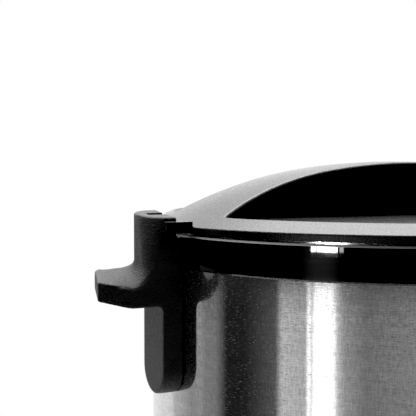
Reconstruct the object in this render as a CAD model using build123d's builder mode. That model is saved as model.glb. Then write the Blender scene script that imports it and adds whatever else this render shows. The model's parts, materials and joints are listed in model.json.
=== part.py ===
# An electric pressure cooker: a steel-clad body with a rim trough, a turning lid with an arch handle,
# a lift-out cooking pot, a heating plate and the electrics in the bay below it.
# Millimetres. Z is up, the table is z = 0 and the body stands on the Z axis.
# The control panel faces -Y, the condensate cup and the power inlet +Y, the side handles lie along X.
import os
from math import asin, atan2, cos, degrees, hypot, radians, sin, sqrt

from build123d import *

os.makedirs("parts", exist_ok=True)

# Clearances
seat_gap = 0.1
soft_gap = 0.3
slip_gap = 0.25
pin_gap = 0.08
wall_gap = 0.1

# Feet and base
foot_height = 6.0
foot_radius = 11.0
foot_edge = 1.5
foot_stem = 3.0
foot_barb = 1.0
foot_barb_height = 2.5
foot_circle = 105.0
foot_count = 4
base_height = 24.0
base_wall = 3.0
base_edge = 4.0
base_boss = 5.0
base_boss_top = 6.0
vent_count = 10
vent_length = 26.0
vent_width = 4.0
vent_circle = 72.0

# Cooking pot
pot_radius = 111.0
pot_wall = 1.0
pot_base = 3.0
pot_depth = 160.0
pot_corner = 12.0
pot_rim = 7.5
pot_rim_thick = 1.0

# Pot housing and its bayonet
housing_gap = 3.0
housing_wall = 1.5
housing_hole = 78.0
flange_ledge = 2.5
flange_thick = 3.0
lug_count = 6
lug_span = 24.0
lug_reach = 5.0
lug_thick = 2.0
lug_play = 1.0
lug_gap = 1.5

# Heating plate and sensor
bay_height = 68.5
plate_thick = 14.0
plate_rest = 10.0
plate_bore = 16.0
ridge_half = 7.0
ridge_depth = 6.0
element_circle = 60.0
element_radius = 3.5
element_depth = 1.5
element_mouth = 40.0
terminal_radius = 2.5
terminal_drop = 11.0
sensor_radius = 14.0
sensor_flange = 18.0
sensor_flange_thick = 2.0
sensor_drop = 6.5
spring_radius = 9.0
spring_wall = 1.5
spring_length = 15.0
strap_width = 18.0
strap_thick = 1.5
strap_foot = 10.0
fuse_size = (26.0, 10.0, 6.0)
fuse_place = 36.0
switch_size = (28.0, 10.0, 16.0)

# Rim ring
rim_drop = 5.0
ring_wall = 4.0
trough_floor = 3.0
trough_drop = 5.0
skirt_room = 6.3
band_wall = 3.0
band_height = 17.7
band_proud = 1.0
band_edge = 0.8
lid_gap = 1.0
spigot_height = 6.3
spigot_wall = 2.1
notch_width = 8.0
notch_height = 3.0

# Outer shell
shell_wall = 0.8
shell_flange = 14.0

# Lid
lid_rise = 36.5
lid_wall = 2.5
lid_inset = 1.6
lid_side = 3.4
lid_undercut = 0.4
shoulder_width = 12.3
shoulder_edge = 0.8
dome_middle = 60.0
dome_radius = 352.0
brow_radius = 225.0
recess_floor = 7.2
recess_edge = 1.8
recess_tip = 1.5
bar_half = 20.0
bar_straight = 55.0
bar_flare = 211.0
fin_reach = 11.6
fin_thick = 4.5
fin_offset = 18.3
fin_bottom = 2.2
fin_height = 3.9
inner_lid_thick = 1.2
inner_lid_lift = 1.0
boss_radius = 4.0
boss_inset = 16.0
boss_y = 12.0
seal_inset = 3.0
seal_edge = 0.5
seal_web = 3.0
seal_lip = 1.5
rack_thick = 1.7
rack_drop = 4.0

# Steam valve and float valve
vent_place = (0.0, 76.0)
stem_radius = 4.0
stem_bore = 1.5
stem_flange = 7.5
stem_flange_thick = 2.0
stem_top = 24.0
stem_drop = 7.0
nut_radius = 7.0
nut_height = 3.9
shield_radius = 12.0
shield_wall = 1.2
shield_drop = 13.0
shield_slots = 8
shield_slot_width = 2.4
shield_slot_height = 6.5
knob_skirt = 13.0
knob_skirt_height = 6.0
knob_neck = 9.5
knob_height = 23.5
knob_lever_length = 44.0
knob_lever_width = 13.0
knob_lever_height = 9.0
knob_lever_edge = 2.0
float_place = (36.0, 68.0)
float_radius = 2.5
float_head = 4.0
float_travel = 5.0
float_cap = 5.0
float_cap_height = 3.0

# Side handles
post_half = 14.0
post_corner = 13.0
post_outer = 19.3
post_rise = 8.0
post_back_rise = 10.8
post_end = 3.7
post_flare = 7.0
flare_steps = 4
flare_start = 10.0
flare_corner = 1.5
flare_top_corner = 6.0
wing_front_drop = 26.2
wing_back_drop = 18.4
wing_tip_front_drop = 22.3
wing_tip_back_drop = 19.0
wing_thick = 10.4
wing_tip_thick = 9.4
wing_reach = 44.2
wing_sweep = 7.2
wing_round = 6.0
wing_corner = 0.6
tail_drop = 82.6
tail_round = 13.5
tail_proud = 10.2
tail_depth = 21.2
tail_fillet = 3.3
tail_edge = 1.0
post_edge = 0.8
fin_slot = 6.0
fin_slot_depth = 9.5
fin_slot_bottom = 26.0
handle_screw_drops = (46.0, 68.0)
handle_screw_cover = 2.0

# Fasteners
screw_radius = 1.75
screw_head = 3.5
screw_head_height = 2.2
screw_length = 12.0

# Control panel
panel_bottom = 66.0
panel_height = 158.0
panel_width = 128.0
panel_corner = 12.0
panel_proud = 16.6
panel_wall = 3.0
panel_rim = 7.0
panel_edge = 1.5
window_width = 64.0
window_height = 30.0
window_drop = 32.0
window_thick = 2.6
display_width = 56.0
display_height = 24.0
button_rows = 4
button_first = 30.0
button_last = 68.0
button_azimuth = 14.5
button_width = 26.0
button_height = 13.0
button_corner = 3.0
button_proud = 0.8
button_travel = 1.0
button_stem = 2.0
button_flange = 1.5
button_flange_thick = 1.2
tact_size = 6.0
tact_height = 3.5
board_thick = 1.6
board_inset = 8.0
board_width = 100.0
board_height = 134.0
board_post = 4.0
board_post_x = 42.0
board_post_z = 62.0
shell_window_width = 106.0

# Power board, inlet and wiring
power_width = 124.0
power_depth = 76.0
power_y = 0.0
power_post = 3.5
power_post_height = 15.0
power_post_inset = 7.0
relay_size = (20.0, 16.0, 18.0)
coil_size = (36.0, 30.0, 28.0)
capacitor_radius = 8.0
capacitor_height = 25.0
inlet_z = 58.0
inlet_width = 28.0
inlet_height = 21.0
inlet_wall = 2.0
inlet_depth = 26.0
inlet_well = 18.0
inlet_flange = 5.0
inlet_flange_thick = 2.6
inlet_corner = 4.0
blade_width = 4.2
blade_thick = 2.0
blade_length = 23.0
blade_pitch = 7.2
blade_tail = 2.0
blade_count = 3
lead_radius = 1.6
lead_bend = 10.0

# Condensate cup
cup_width = 44.0
cup_depth = 14.0
cup_height = 44.0
cup_wall = 1.6
cup_corner = 4.0
cup_drop = 3.0
cup_lip = 4.5
cup_lip_thick = 2.0
cup_lip_drop = 3.0
bracket_thick = 2.0
bracket_rail = 3.2
bracket_height = 38.0

# Heights, from the table up
base_floor = foot_height + base_wall
shell_bottom = foot_height + base_height
plate_bottom = shell_bottom + bay_height
plate_top = plate_bottom + plate_thick
pot_bottom = plate_top + seat_gap
pot_floor = pot_bottom + pot_base
rim_top = pot_floor + pot_depth
lid_line = rim_top + rim_drop
lid_top = lid_line + lid_rise
flange_top = rim_top - pot_rim_thick - soft_gap
flange_bottom = flange_top - flange_thick
lug_top = flange_bottom - lug_play
skirt_bottom = lug_top - lug_thick
trough_top = skirt_bottom - trough_drop
trough_bottom = trough_top - trough_floor
band_top = lid_line - lid_gap
band_bottom = lid_line - band_height
recess_z = lid_line + recess_floor
inner_lid_bottom = lid_line + inner_lid_lift
inner_lid_top = inner_lid_bottom + inner_lid_thick

# Radii, from the pot out
pot_outer = pot_radius + pot_wall
pot_rim_radius = pot_outer + pot_rim
housing_inner = pot_outer + housing_gap
housing_outer = housing_inner + housing_wall
flange_radius = pot_rim_radius + flange_ledge
lug_radius = flange_radius + lug_reach
lid_lug_radius = flange_radius + lug_gap
skirt_inner = lug_radius + lug_gap
skirt_outer = skirt_inner + inner_lid_thick
ring_inner = housing_outer + lid_gap
trough_outer = skirt_outer + skirt_room
band_radius = trough_outer + band_wall
body_radius = band_radius - band_proud
shell_inner = body_radius - shell_wall
spigot_outer = shell_inner - wall_gap
lid_radius = band_radius - lid_inset
side_radius = lid_radius + lid_undercut
lip_radius = side_radius - shoulder_width
plate_radius = housing_hole + plate_rest
body_face = body_radius + wall_gap
band_face = band_radius + wall_gap


def save(builder, name):
    builder.part.label = name
    export_step(builder.part, f"parts/{name}.step")


def upright(x, y):
    """A vertical plane at (x, y) whose local Y axis is the world's Z."""
    return Plane(origin=(x, y, 0), x_dir=(1, 0, 0), z_dir=(0, -1, 0))


def outward(angle, radius=0, z=0):
    """A plane facing away from the body's axis, angle in degrees from -Y towards +X."""
    turn = radians(angle)
    origin = (radius * sin(turn), -radius * cos(turn), z)
    return Plane(origin=origin, x_dir=(cos(turn), sin(turn), 0), z_dir=(sin(turn), -cos(turn), 0))


def turned(plane, points, mode=Mode.ADD):
    """A turned form: the outline in the plane, spun about the plane's own Y axis."""
    with BuildSketch(plane) as section:
        with BuildLine():
            Polyline(*points, close=True)
        make_face()
    revolve(section.sketch, axis=Axis(plane.origin, plane.y_dir), mode=mode)


def draw_sector(inner, outer, middle, span):
    """A slice of a flat ring about the origin of the sketch."""
    start = middle - span / 2
    with BuildLine() as slice_edge:
        outside = CenterArc((0, 0), outer, start, span)
        inside = CenterArc((0, 0), inner, start, span)
        Line(outside @ 0, inside @ 0)
        Line(outside @ 1, inside @ 1)
    make_face(slice_edge.edges())


def screw_points(seat, length=screw_length):
    """Half section of a pan head screw whose head seats at the given height, shank upwards."""
    head = seat - screw_head_height
    return [
        (0, head),
        (screw_head, head),
        (screw_head, seat),
        (screw_radius, seat),
        (screw_radius, seat + length),
        (0, seat + length),
    ]


def round_places(radius, count, first):
    """Points spread evenly on a circle, the first at the given angle in degrees."""
    angles = [radians(first + 360 / count * n) for n in range(count)]
    return [(radius * cos(a), radius * sin(a)) for a in angles]


# Feet
foot_places = round_places(foot_circle, foot_count, 180 / foot_count)
foot_top = base_floor + foot_barb_height
for number, (x, y) in enumerate(foot_places, start=1):
    with BuildPart() as foot:
        turned(
            upright(x, y),
            [
                (0, 0),
                (foot_radius - foot_edge, 0),
                (foot_radius, foot_edge),
                (foot_radius, foot_height),
                (foot_stem, foot_height),
                (foot_stem, base_floor),
                (foot_stem + foot_barb, base_floor),
                (foot_stem, foot_top),
                (0, foot_top),
            ],
        )
    save(foot, f"foot_{number}")

# Base: a moulded tub with air slots, posts for the power board and bosses under the shell's flange
base_boss_circle = shell_inner - base_wall - base_boss
base_boss_places = round_places(base_boss_circle, foot_count, 0)
boss_seat = shell_bottom - base_boss_top
power_posts_x = power_width / 2 - power_post_inset
power_posts_y = power_depth / 2 - power_post_inset
power_post_top = base_floor + power_post_height
with BuildPart() as base:
    turned(
        upright(0, 0),
        [
            (0, foot_height),
            (body_radius - base_edge, foot_height),
            (body_radius, foot_height + base_edge),
            (body_radius, shell_bottom),
            (spigot_outer - base_wall, shell_bottom),
            (spigot_outer - base_wall, base_floor),
            (0, base_floor),
        ],
    )
    with BuildSketch(Plane.XY.offset(base_floor)):
        with Locations(*base_boss_places):
            Circle(base_boss)
    extrude(amount=shell_bottom - base_floor)
    with BuildSketch(Plane.XY.offset(base_floor)):
        with Locations((0, power_y)):
            with GridLocations(2 * power_posts_x, 2 * power_posts_y, 2, 2):
                Circle(power_post)
    extrude(amount=power_post_height)
    with BuildSketch(Plane.XY.offset(foot_height)):
        with Locations(*foot_places):
            Circle(foot_stem + pin_gap)
        with PolarLocations(vent_circle, vent_count, 180 / vent_count):
            SlotOverall(vent_length, vent_width)
    extrude(amount=base_wall, mode=Mode.SUBTRACT)
    with BuildSketch(Plane.XY.offset(foot_height)):
        with Locations(*base_boss_places):
            Circle(screw_head + slip_gap)
    extrude(amount=boss_seat - foot_height, mode=Mode.SUBTRACT)
    with BuildSketch(Plane.XY.offset(boss_seat)):
        with Locations(*base_boss_places):
            Circle(screw_radius + pin_gap)
    extrude(amount=base_boss_top, mode=Mode.SUBTRACT)
    with BuildSketch(Plane.XY.offset(base_floor)):
        with Locations((0, power_y)):
            with GridLocations(2 * power_posts_x, 2 * power_posts_y, 2, 2):
                Circle(screw_radius + pin_gap)
    extrude(amount=power_post_height, mode=Mode.SUBTRACT)
save(base, "base")

with BuildPart() as base_screws:
    for x, y in base_boss_places:
        turned(upright(x, y), screw_points(boss_seat))
save(base_screws, "base_screws")

# Outer shell: rolled steel with a folded flange below and windows for the panel, inlet and fasteners
shell_window_height = board_height + 2 * slip_gap
panel_middle = panel_bottom + panel_height / 2
cup_top = band_bottom - cup_drop
rail_top = cup_top - cup_lip_drop - cup_lip_thick - soft_gap
bracket_z = rail_top - bracket_height / 2
bracket_screw_z = bracket_z - bracket_height / 4
handle_screw_heights = [lid_line - drop for drop in handle_screw_drops]
with BuildPart() as outer_shell:
    turned(
        upright(0, 0),
        [
            (body_radius - shell_flange, shell_bottom),
            (body_radius, shell_bottom),
            (body_radius, band_bottom),
            (shell_inner, band_bottom),
            (shell_inner, shell_bottom + shell_wall),
            (body_radius - shell_flange, shell_bottom + shell_wall),
        ],
    )
    with BuildSketch(outward(0, shell_inner / 2, panel_middle)):
        Rectangle(shell_window_width, shell_window_height)
    extrude(amount=body_radius, mode=Mode.SUBTRACT)
    with BuildSketch(outward(180, shell_inner / 2, inlet_z)):
        Rectangle(inlet_width + 2 * slip_gap, inlet_height + 2 * slip_gap)
    extrude(amount=body_radius, mode=Mode.SUBTRACT)
    for side in (-90, 90):
        for z in handle_screw_heights:
            with BuildSketch(outward(side, shell_inner / 2, z)):
                Circle(screw_radius + pin_gap)
            extrude(amount=body_radius, mode=Mode.SUBTRACT)
    with BuildSketch(outward(180, shell_inner / 2, bracket_screw_z)):
        Circle(screw_radius + pin_gap)
    extrude(amount=body_radius, mode=Mode.SUBTRACT)
    with BuildSketch(Plane.XY.offset(shell_bottom)):
        with Locations(*base_boss_places):
            Circle(screw_radius + pin_gap)
    extrude(amount=shell_wall, mode=Mode.SUBTRACT)
save(outer_shell, "outer_shell")

# Rim ring: the glossy band, the condensate trough behind it and the wall that carries the pot housing
spigot_bottom = band_bottom - spigot_height
with BuildPart() as rim_ring:
    turned(
        upright(0, 0),
        [
            (band_radius - band_edge, band_bottom),
            (band_radius, band_bottom + band_edge),
            (band_radius, band_top - band_edge),
            (band_radius - band_edge, band_top),
            (trough_outer, band_top),
            (trough_outer, trough_top),
            (ring_inner + ring_wall, trough_top),
            (ring_inner + ring_wall, flange_bottom),
            (ring_inner, flange_bottom),
            (ring_inner, trough_bottom),
            (spigot_outer - spigot_wall, trough_bottom),
            (spigot_outer - spigot_wall, spigot_bottom),
            (spigot_outer, spigot_bottom),
            (spigot_outer, band_bottom),
        ],
    )
    with BuildSketch(outward(180, ring_inner + ring_wall, trough_top + notch_height / 2)):
        Rectangle(notch_width, notch_height)
    extrude(amount=body_radius, mode=Mode.SUBTRACT)
save(rim_ring, "rim_ring")

# Pot housing: the fixed outer pot with its locking lugs
floor_bottom = plate_bottom - housing_wall
with BuildPart() as pot_housing:
    turned(
        upright(0, 0),
        [
            (housing_hole, floor_bottom),
            (housing_outer, floor_bottom),
            (housing_outer, flange_bottom),
            (flange_radius, flange_bottom),
            (flange_radius, flange_top),
            (housing_inner, flange_top),
            (housing_inner, plate_bottom),
            (housing_hole, plate_bottom),
        ],
    )
    with BuildSketch(Plane.XY.offset(flange_bottom)):
        for n in range(lug_count):
            draw_sector(housing_outer, lug_radius, 360 / lug_count * n, lug_span)
    extrude(amount=flange_thick)
save(pot_housing, "pot_housing")

# Cooking pot
with BuildPart() as inner_pot:
    outer_corner = pot_corner + pot_wall
    with BuildSketch(Plane.XZ):
        with BuildLine():
            Polyline(
                (pot_radius - pot_corner, pot_floor),
                (0, pot_floor),
                (0, pot_bottom),
                (pot_outer - outer_corner, pot_bottom),
            )
            JernArc((pot_outer - outer_corner, pot_bottom), (1, 0), outer_corner, 90)
            Polyline(
                (pot_outer, pot_bottom + outer_corner),
                (pot_outer, rim_top - pot_rim_thick),
                (pot_rim_radius, rim_top - pot_rim_thick),
                (pot_rim_radius, rim_top),
                (pot_radius, rim_top),
                (pot_radius, pot_floor + pot_corner),
            )
            JernArc((pot_radius, pot_floor + pot_corner), (0, -1), pot_corner, -90)
        make_face()
    revolve(axis=Axis.Z)
save(inner_pot, "inner_pot")


# Heating plate and the element cast into it
element_z = plate_bottom - element_depth
terminal_bottom = plate_bottom - ridge_depth - terminal_drop
terminal_places = [
    (element_circle * cos(radians(turn)), element_circle * sin(radians(turn)))
    for turn in (element_mouth / 2, -element_mouth / 2)
]


def element_tube(extra, mode):
    """The open ring of tube and its two terminals, grown by a clearance."""
    mouth = radians(element_mouth / 2)
    start = Plane(origin=(0, 0, 0), x_dir=(cos(mouth), sin(mouth), 0), z_dir=(sin(mouth), -cos(mouth), 0))
    with BuildSketch(start) as tube:
        with Locations((element_circle, element_z)):
            Circle(element_radius + extra)
    revolve(tube.sketch, axis=Axis.Z, revolution_arc=360 - element_mouth, mode=mode)
    with BuildSketch(Plane.XY.offset(terminal_bottom)) as terminals:
        with Locations(*terminal_places):
            Circle(terminal_radius + extra)
    extrude(terminals.sketch, amount=element_z - terminal_bottom, mode=mode)


with BuildPart() as heating_plate:
    turned(
        upright(0, 0),
        [
            (plate_bore, plate_bottom),
            (element_circle - ridge_half, plate_bottom),
            (element_circle - ridge_half, plate_bottom - ridge_depth),
            (element_circle + ridge_half, plate_bottom - ridge_depth),
            (element_circle + ridge_half, plate_bottom),
            (plate_radius, plate_bottom),
            (plate_radius, plate_top),
            (plate_bore, plate_top),
        ],
    )
    element_tube(pin_gap, Mode.SUBTRACT)
save(heating_plate, "heating_plate")

with BuildPart() as heating_element:
    element_tube(0, Mode.ADD)
save(heating_element, "heating_element")

# Temperature sensor on its spring, and the strap that carries them
sensor_bottom = plate_bottom - sensor_drop
sensor_top = plate_top - seat_gap
with BuildPart() as temperature_sensor:
    turned(
        upright(0, 0),
        [
            (0, sensor_bottom),
            (sensor_flange, sensor_bottom),
            (sensor_flange, sensor_bottom + sensor_flange_thick),
            (sensor_radius, sensor_bottom + sensor_flange_thick),
            (sensor_radius, sensor_top),
            (0, sensor_top),
        ],
    )
save(temperature_sensor, "temperature_sensor")

strap_top = sensor_bottom - spring_length - seat_gap
with BuildPart() as sensor_spring:
    turned(
        upright(0, 0),
        [
            (spring_radius - spring_wall, strap_top),
            (spring_radius, strap_top),
            (spring_radius, strap_top + spring_length),
            (spring_radius - spring_wall, strap_top + spring_length),
        ],
    )
save(sensor_spring, "sensor_spring")

strap_reach = plate_radius - strap_thick
with BuildPart() as sensor_strap:
    with BuildSketch(Plane.XZ.offset(-strap_width / 2)):
        with BuildLine():
            Polyline(
                (-strap_reach - strap_foot, floor_bottom),
                (-strap_reach, floor_bottom),
                (-strap_reach, strap_top),
                (strap_reach, strap_top),
                (strap_reach, floor_bottom),
                (strap_reach + strap_foot, floor_bottom),
                (strap_reach + strap_foot, floor_bottom - strap_thick),
                (strap_reach + strap_thick, floor_bottom - strap_thick),
                (strap_reach + strap_thick, strap_top - strap_thick),
                (-strap_reach - strap_thick, strap_top - strap_thick),
                (-strap_reach - strap_thick, floor_bottom - strap_thick),
                (-strap_reach - strap_foot, floor_bottom - strap_thick),
                close=True,
            )
        make_face()
    extrude(amount=strap_width)
save(sensor_strap, "sensor_strap")

with BuildPart() as thermal_fuse:
    with BuildSketch(Plane.XY.offset(plate_bottom - fuse_size[2])):
        with Locations((0, fuse_place)):
            RectangleRounded(fuse_size[0], fuse_size[1], fuse_size[1] / 4)
    extrude(amount=fuse_size[2])
save(thermal_fuse, "thermal_fuse")

switch_y = (plate_radius + housing_outer) / -2
with BuildPart() as pressure_switch:
    with BuildSketch(Plane.XY.offset(floor_bottom - switch_size[2])):
        with Locations((0, switch_y)):
            RectangleRounded(switch_size[0], switch_size[1], switch_size[1] / 8)
    extrude(amount=switch_size[2])
save(pressure_switch, "pressure_switch")

# Power board, its parts and screws
power_top = power_post_top + board_thick
power_places = [
    (x, power_y + y) for x in (-power_posts_x, power_posts_x) for y in (-power_posts_y, power_posts_y)
]
with BuildPart() as power_board:
    with BuildSketch(Plane.XY.offset(power_post_top)):
        with Locations((0, power_y)):
            Rectangle(power_width, power_depth)
        with Locations(*power_places):
            Circle(screw_radius + pin_gap, mode=Mode.SUBTRACT)
    extrude(amount=board_thick)
save(power_board, "power_board")

with BuildPart() as power_parts:
    with BuildSketch(Plane.XY.offset(power_top)):
        with Locations((-power_width / 4, power_y)):
            Rectangle(coil_size[0], coil_size[1])
    extrude(amount=coil_size[2])
    with BuildSketch(Plane.XY.offset(power_top)):
        with Locations((power_width / 8, power_y - power_depth / 4)):
            Rectangle(relay_size[0], relay_size[1])
    extrude(amount=relay_size[2])
    with BuildSketch(Plane.XY.offset(power_top)):
        with Locations((power_width / 4, power_y + power_depth / 8)):
            Circle(capacitor_radius)
    extrude(amount=capacitor_height)
save(power_parts, "power_parts")

with BuildPart() as board_screws:
    for x, y in power_places:
        flipped = Plane(origin=(x, y, 0), x_dir=(1, 0, 0), z_dir=(0, 1, 0))
        turned(flipped, screw_points(-power_top))
save(board_screws, "board_screws")

# Power inlet: a moulded socket in the back of the shell, with three blades
inlet_face = body_radius + inlet_flange_thick
inlet_back = body_radius - inlet_depth
well_bottom = inlet_face - inlet_well
well_width = inlet_width - 2 * inlet_wall
well_height = inlet_height - 2 * inlet_wall
with BuildPart() as inlet_socket:
    with BuildSketch(outward(180, body_radius - inlet_flange_thick, inlet_z)):
        RectangleRounded(inlet_width + 2 * inlet_flange, inlet_height + 2 * inlet_flange, inlet_corner)
    extrude(amount=2 * inlet_flange_thick)
    with BuildSketch(Plane.XY.offset(inlet_z - inlet_height)):
        Circle(body_face)
    extrude(amount=2 * inlet_height, mode=Mode.SUBTRACT)
    with BuildSketch(outward(180, inlet_back, inlet_z)):
        RectangleRounded(inlet_width, inlet_height, inlet_corner)
    extrude(amount=inlet_depth + inlet_flange_thick / 2)
    with BuildSketch(outward(180, well_bottom, inlet_z)):
        RectangleRounded(well_width, well_height, inlet_corner - inlet_wall)
    extrude(amount=inlet_well, mode=Mode.SUBTRACT)
    with BuildSketch(outward(180, inlet_back, inlet_z)):
        with GridLocations(blade_pitch, 0, blade_count, 1):
            Rectangle(blade_thick + pin_gap, blade_width + pin_gap)
    extrude(amount=inlet_depth, mode=Mode.SUBTRACT)
save(inlet_socket, "inlet_socket")

blade_start = inlet_back - blade_tail
with BuildPart() as inlet_blades:
    with BuildSketch(outward(180, blade_start, inlet_z)):
        with GridLocations(blade_pitch, 0, blade_count, 1):
            Rectangle(blade_thick, blade_width)
    extrude(amount=blade_length)
save(inlet_blades, "inlet_blades")

# Leads: from the outer blades to the power board, and from the board to the heating element
lead_board_y = power_y + power_depth / 2 - power_post_inset
lead_turn_y = (lead_board_y + blade_start) / 2
lead_high = (power_top + terminal_bottom) / 2
with BuildPart() as wiring:
    for x in (-blade_pitch, blade_pitch):
        with BuildLine():
            lead = FilletPolyline(
                (x, blade_start, inlet_z),
                (x, lead_turn_y, inlet_z),
                (x, lead_board_y, lead_high),
                (x, lead_board_y, power_top),
                radius=lead_bend,
            )
        with BuildSketch(Plane(origin=lead @ 0, z_dir=lead % 0)):
            Circle(lead_radius)
        sweep(path=lead)
    with BuildSketch(Plane.XY.offset(power_top)):
        with Locations(*terminal_places):
            Circle(lead_radius)
    extrude(amount=terminal_bottom - power_top)
save(wiring, "wiring")


def on_face(edge, angle, radius):
    """Whether an edge lies in the plane that faces outward at an angle and a distance."""
    turn = radians(angle)
    places = (edge @ 0, edge @ 0.5, edge @ 1)
    return all(abs(p.X * sin(turn) - p.Y * cos(turn) - radius) < seat_gap for p in places)


# Side handles: post with a slot for the lid's fin, wing to lift by, and tail down the shell
post_front = lid_line + post_rise
post_back = lid_line + post_back_rise
post_tilt = atan2(post_back - post_front, 2 * post_half)
wing_front = lid_line - wing_front_drop
wing_back = lid_line - wing_back_drop
wing_middle = (wing_front + wing_back) / 2
wing_tilt = atan2(wing_back - wing_front, 2 * post_half)
tail_tip = lid_line - tail_drop
tail_top = wing_back - wing_thick + tail_edge
post_reach = body_radius + post_outer
tail_face = body_radius + tail_proud
tail_start = tail_face - tail_depth
wing_knee = post_reach + post_flare
wing_end = body_radius + wing_reach
handle_screw_end = tail_face - handle_screw_cover
slot_start = tail_start
slot_end = body_radius + post_end + fin_slot_depth


def wing_side(y, reach, root, tip):
    """The side of a wing, in the plane at y: level under the post, then straight out to its tip."""
    with BuildSketch(upright(0, y)) as outline:
        with BuildLine():
            Polyline(
                (tail_start, root),
                (wing_knee, root),
                (reach, tip),
                (reach, tip - wing_tip_thick),
                (wing_knee, root - wing_thick),
                (tail_start, root - wing_thick),
                close=True,
            )
        make_face()
    return outline.sketch


def post_section(z, tilt, reach, front_corner, back_corner):
    """The outline of a handle's post, out to its reach, at a height and a tilt that lifts its back."""
    plane = Plane(origin=(0, 0, z), x_dir=(1, 0, 0), z_dir=(0, -sin(tilt), cos(tilt)))
    with BuildSketch(plane) as outline:
        with Locations(((tail_start + reach) / 2, 0)):
            Rectangle(reach - tail_start, 2 * post_half / cos(tilt))
        fillet(outline.vertices().group_by(Axis.X)[-1].sort_by(Axis.Y)[-1], back_corner)
        fillet(outline.vertices().group_by(Axis.X)[-1].sort_by(Axis.Y)[0], front_corner)
    return outline.sketch


def flare_section(turn):
    """The post's outline where its flare has turned by an angle, from along the wing to straight up."""
    rise = 1 - cos(turn)
    front_corner = flare_corner + (flare_top_corner - flare_corner) * rise
    back_corner = flare_corner + (post_corner - flare_corner) * rise
    reach = post_reach + post_flare * (1 - sin(turn))
    z = wing_middle + post_flare * rise
    return post_section(z, wing_tilt * cos(turn), reach, front_corner, back_corner)


with BuildPart() as wing:
    front_side = wing_side(-post_half, wing_end, wing_front, lid_line - wing_tip_front_drop)
    back_side = wing_side(post_half, wing_end - wing_sweep, wing_back, lid_line - wing_tip_back_drop)
    loft([front_side, back_side], ruled=True)
    tip_edges = wing.edges().filter_by(Axis.Z).sort_by(Axis.X)[-2:].sort_by(Axis.Y)
    fillet(tip_edges[-1], wing_round)
    fillet(wing.edges().filter_by(Axis.Z).sort_by(Axis.X)[-1], wing_corner)

flare_turns = [
    radians(flare_start + (90 - flare_start) * step / flare_steps) for step in range(flare_steps + 1)
]
flare_sections = [flare_section(turn) for turn in flare_turns]
with BuildPart() as handle_right:
    add(wing.part)
    loft(flare_sections)
    extrude(flare_sections[0], amount=wing_thick / 2, dir=(0, 0, -1))
    post_crown = post_section((post_front + post_back) / 2, post_tilt, post_reach, post_corner, post_corner)
    loft([flare_sections[-1], post_crown], ruled=True)
    with BuildSketch(outward(90, tail_start, 0)):
        with Locations((0, tail_tip + tail_round)):
            Ellipse(post_half, tail_round)
        with Locations((0, (tail_tip + tail_round + tail_top) / 2)):
            Rectangle(2 * post_half, tail_top - tail_tip - tail_round)
    extrude(amount=tail_face - tail_start)
    tail_head = handle_right.edges().filter_by(lambda e: on_face(e, 90, tail_face)).sort_by(Axis.Z)[-1]
    fillet(tail_head, tail_fillet)
    fillet(handle_right.faces().sort_by(Axis.Z)[-1].edges(), post_edge)
    tail_rim = handle_right.edges().filter_by(lambda e: on_face(e, 90, tail_face))
    fillet(tail_rim.sort_by(Axis.Z)[:-1], tail_edge)
    turned(
        upright(0, 0),
        [
            (0, tail_tip - post_half),
            (body_face, tail_tip - post_half),
            (body_face, band_bottom),
            (band_face, band_bottom),
            (band_face, band_top - band_edge),
            (body_radius + post_end, band_top - band_edge),
            (body_radius + post_end, post_back + post_half),
            (0, post_back + post_half),
        ],
        Mode.SUBTRACT,
    )
    with BuildSketch(Plane.XY.offset(lid_line - fin_slot_bottom)):
        with Locations(((slot_start + slot_end) / 2, 0)):
            Rectangle(slot_end - slot_start, fin_slot)
    extrude(amount=fin_slot_bottom + post_back_rise, mode=Mode.SUBTRACT)
    for z in handle_screw_heights:
        with BuildSketch(outward(90, shell_inner, z)):
            Circle(screw_radius + pin_gap)
        extrude(amount=handle_screw_end - shell_inner, mode=Mode.SUBTRACT)
save(handle_right, "handle_right")

with BuildPart() as handle_left:
    mirror(handle_right.part, about=Plane.YZ)
save(handle_left, "handle_left")

with BuildPart() as handle_screws:
    for side in (-1, 1):
        for z in handle_screw_heights:
            inward = Plane(origin=(0, 0, z), x_dir=(0, side, 0), z_dir=(0, 0, -1))
            turned(inward, screw_points(shell_inner - seat_gap, handle_screw_end - shell_inner))
save(handle_screws, "handle_screws")

# Places on the panel and the lid
panel_face = body_radius + panel_proud
panel_inner = panel_face - panel_wall
panel_top = panel_bottom + panel_height
board_front = body_radius - board_inset
window_z = panel_top - window_drop
post_face = sqrt((panel_face - panel_wall / 2) ** 2 - board_post_x**2)
button_middle = panel_bottom + button_first
button_pitch = (panel_height - button_first - button_last) / (button_rows - 1)
button_places = [
    (angle, button_middle + button_pitch * row)
    for row in range(button_rows)
    for angle in (-button_azimuth, button_azimuth)
]
button_face = panel_face + button_proud
button_shoulder = sqrt(panel_inner**2 - (button_width / 2 + button_flange) ** 2) - soft_gap
button_back = button_shoulder - button_flange_thick
flange_width = button_width + 2 * button_flange
flange_height = button_height + 2 * button_flange
tact_radius = (board_front + tact_height) / cos(radians(button_azimuth))
button_stem_end = tact_radius + button_travel + 2 * soft_gap
display_front = sqrt((panel_face - window_thick) ** 2 - (display_width / 2) ** 2) - seat_gap
fin_end = lid_radius + fin_reach
fin_start = sqrt(side_radius**2 - fin_offset**2) - lid_wall / 2
fin_middle = (fin_start + fin_end) / 2


# Lid cover: a domed moulding with a finger recess on each side of the arch that is gripped
dome_centre = lid_top - dome_radius
dome_turn = asin(dome_middle / dome_radius)
brow_r = dome_middle * (1 - brow_radius / dome_radius)
brow_z = dome_centre + (dome_radius - brow_radius) * cos(dome_turn)


def brow_height(radius):
    """Height of the lid's outside at a distance from the axis, beyond the middle of the dome."""
    return brow_z + sqrt(brow_radius**2 - (radius - brow_r) ** 2)


lip_z = brow_height(lip_radius)
under_share = 1 - lid_wall / brow_radius
boss_x = pot_radius - boss_inset
boss_top = brow_height(hypot(boss_x, boss_y) + boss_radius) - lid_wall / 4


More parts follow.
